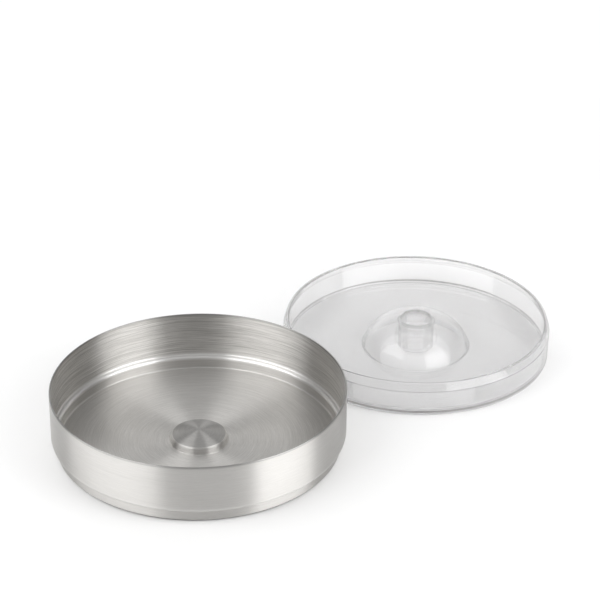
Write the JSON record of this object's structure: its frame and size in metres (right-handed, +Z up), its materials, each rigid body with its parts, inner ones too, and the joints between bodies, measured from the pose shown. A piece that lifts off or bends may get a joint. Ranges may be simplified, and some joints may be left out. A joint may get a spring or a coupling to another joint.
{
  "type": "cocktail glass rimmer",
  "caption": "Rimming set: a round stepped steel dish with a raised centre boss, and a clear round tray with a hollow centre dome and finger hole standing beside it.",
  "frame": {"origin": "on the dish's axis, in the plane of the table that the dish and the tray stand on", "axes": "+Z up along the dish's axis; +X to the right in the picture, parallel to its lower edge; +Y away from the camera. The tray stands behind and to the right, its axis 146.5 mm from the dish's, at 40.5 degrees from +X towards +Y"},
  "size_m": [0.2549, 0.2386, 0.0316],
  "materials": {
    "steel": "satin",
    "clear_plastic": "clear, glossy"
  },
  "bodies": {
    "dish": {"dish": "steel"},
    "tray": {"tray": "clear_plastic"}
  },
  "joints": [
    {"name": "tray_lift", "type": "slide", "parent": "dish", "child": "tray", "axis": [0, 0, 1], "range_m": [0, 0.06]}
  ]
}
